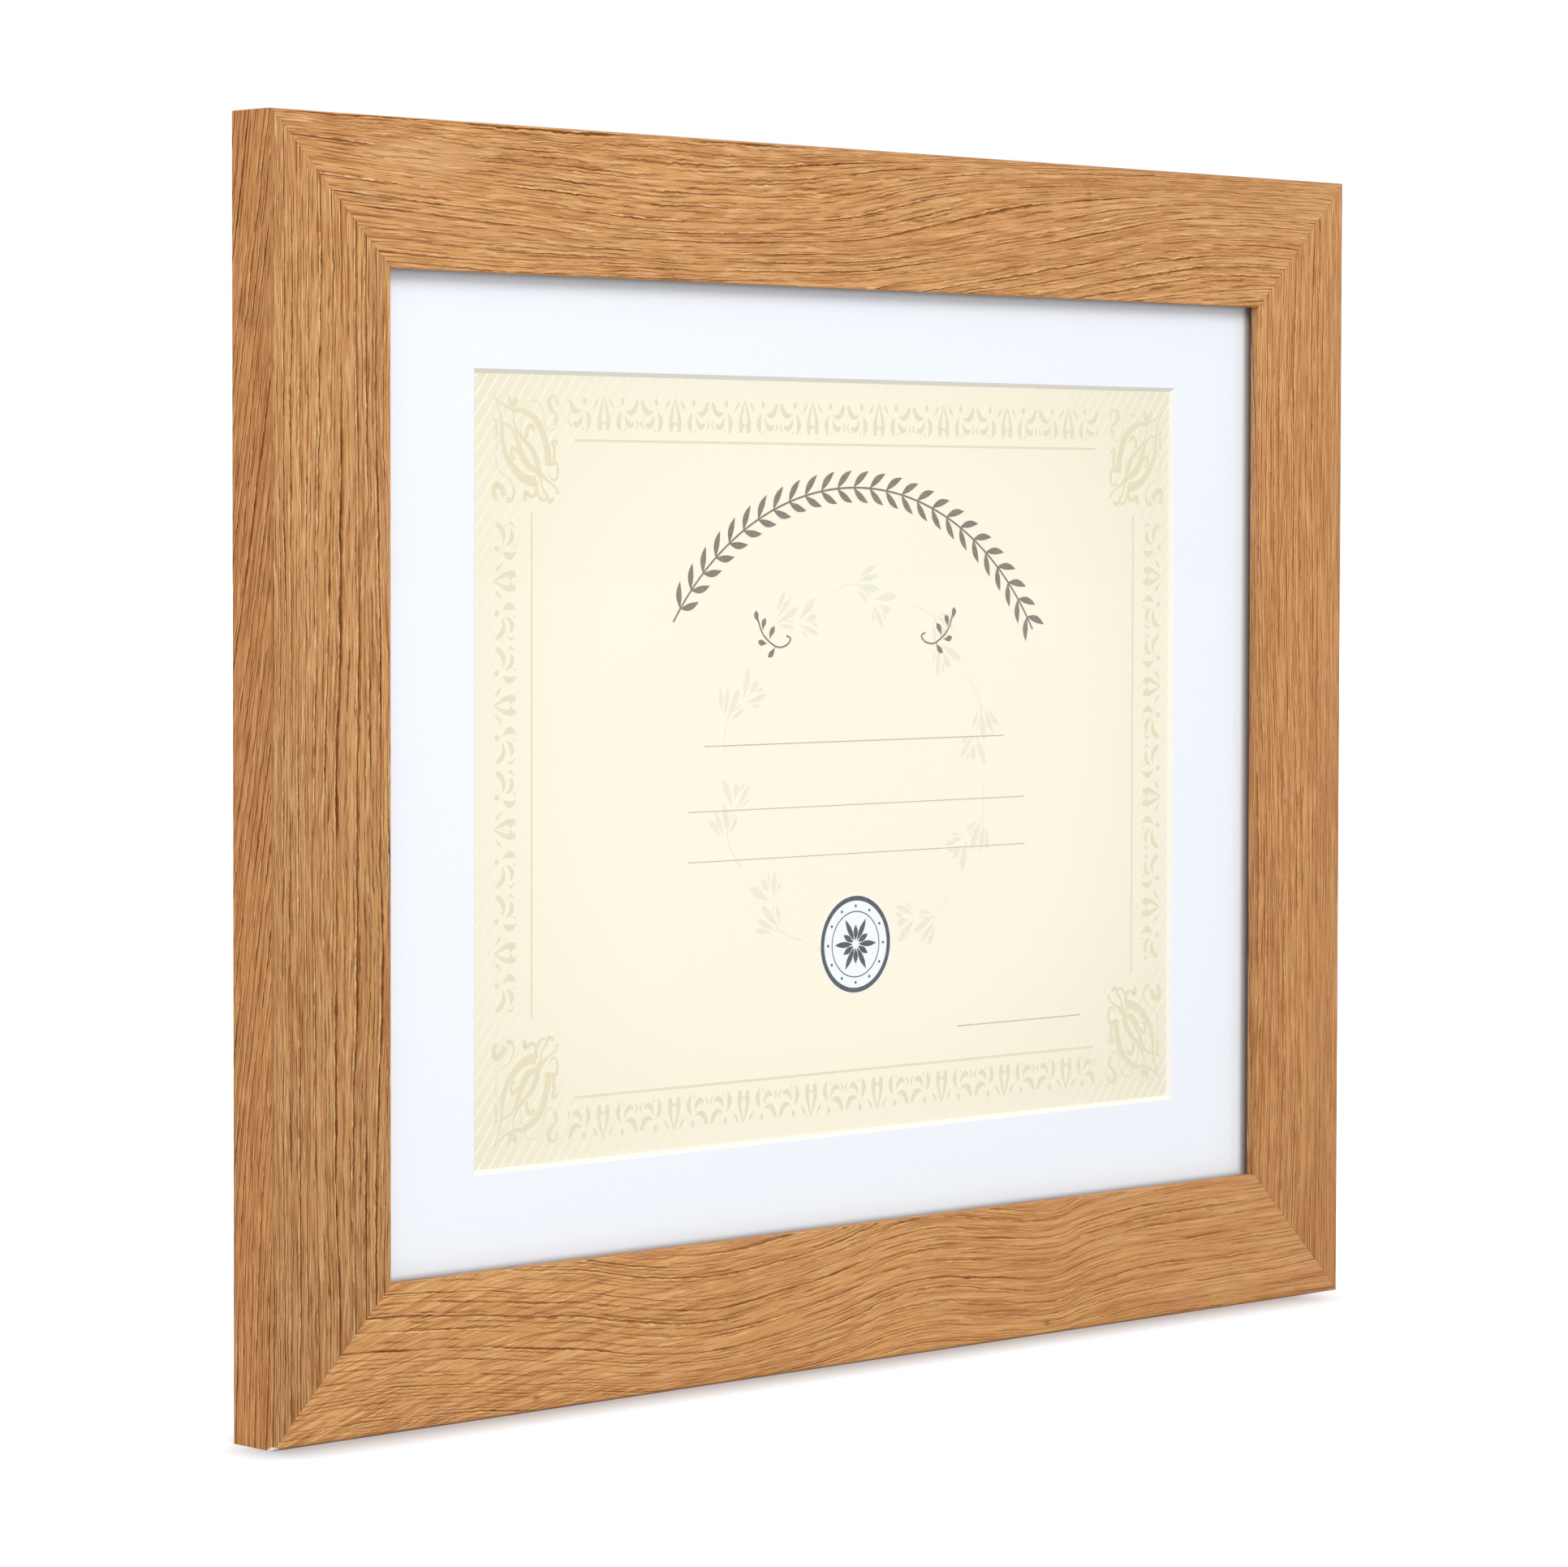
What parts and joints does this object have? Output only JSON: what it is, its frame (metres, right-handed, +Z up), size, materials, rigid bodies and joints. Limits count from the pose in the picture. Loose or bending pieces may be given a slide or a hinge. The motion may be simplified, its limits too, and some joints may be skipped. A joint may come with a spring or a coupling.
{
  "type": "certificate frame",
  "caption": "Landscape certificate frame: wide mitred wood-grain moulding, glass, white bevelled mat, printed sheet, and a hardboard back held by turn buttons, with sawtooth hangers.",
  "frame": {"origin": "under the middle of the part, on its bottom edge; centre of the box across and front to back", "axes": "+X to the right as seen from the front, +Y towards the back, +Z up in landscape"},
  "size_m": [0.4222, 0.0198, 0.3459],
  "materials": {
    "oak_foil": "satin honey-oak embossed foil on a fibreboard core",
    "glass": "clear polished picture glass",
    "mat_board": "matte cool white, cream bevel",
    "certificate_paper": "matte cream with a pale printed pattern",
    "corrugated_card": "matte kraft, double wall",
    "hardboard": "smooth brown hardboard",
    "steel": "blued strip, cut edge showing",
    "zinc_steel": "bright zinc plate"
  },
  "bodies": {
    "frame": {"rail_top": "oak_foil", "rail_right": "oak_foil", "rail_bottom": "oak_foil", "rail_left": "oak_foil", "v_nails": "steel", "glass": "glass", "mat": "mat_board", "certificate": "certificate_paper", "corrugated_pad": "corrugated_card", "backing_board": "hardboard", "button_screws": "zinc_steel", "hanger_landscape": "zinc_steel", "hanger_portrait": "zinc_steel", "hanger_nails": "zinc_steel"},
    "turn_button_top_1": {"turn_button_top_1": "zinc_steel"},
    "turn_button_top_2": {"turn_button_top_2": "zinc_steel"},
    "turn_button_right_1": {"turn_button_right_1": "zinc_steel"},
    "turn_button_right_2": {"turn_button_right_2": "zinc_steel"},
    "turn_button_bottom_1": {"turn_button_bottom_1": "zinc_steel"},
    "turn_button_bottom_2": {"turn_button_bottom_2": "zinc_steel"},
    "turn_button_left_1": {"turn_button_left_1": "zinc_steel"},
    "turn_button_left_2": {"turn_button_left_2": "zinc_steel"}
  },
  "joints": [
    {"name": "turn_top_1", "type": "hinge", "parent": "frame", "child": "turn_button_top_1", "pos_m": [0.10552, 0.00685, 0.32245], "axis": [0, 1, 0], "continuous": true},
    {"name": "turn_top_2", "type": "hinge", "parent": "frame", "child": "turn_button_top_2", "pos_m": [-0.10552, 0.00685, 0.32245], "axis": [0, 1, 0], "continuous": true},
    {"name": "turn_right_1", "type": "hinge", "parent": "frame", "child": "turn_button_right_1", "pos_m": [0.1876, 0.00685, 0.08647], "axis": [0, 1, 0], "continuous": true},
    {"name": "turn_right_2", "type": "hinge", "parent": "frame", "child": "turn_button_right_2", "pos_m": [0.1876, 0.00685, 0.25943], "axis": [0, 1, 0], "continuous": true},
    {"name": "turn_bottom_1", "type": "hinge", "parent": "frame", "child": "turn_button_bottom_1", "pos_m": [-0.10552, 0.00685, 0.02345], "axis": [0, 1, 0], "continuous": true},
    {"name": "turn_bottom_2", "type": "hinge", "parent": "frame", "child": "turn_button_bottom_2", "pos_m": [0.10552, 0.00685, 0.02345], "axis": [0, 1, 0], "continuous": true},
    {"name": "turn_left_1", "type": "hinge", "parent": "frame", "child": "turn_button_left_1", "pos_m": [-0.1876, 0.00685, 0.25943], "axis": [0, 1, 0], "continuous": true},
    {"name": "turn_left_2", "type": "hinge", "parent": "frame", "child": "turn_button_left_2", "pos_m": [-0.1876, 0.00685, 0.08647], "axis": [0, 1, 0], "continuous": true}
  ]
}
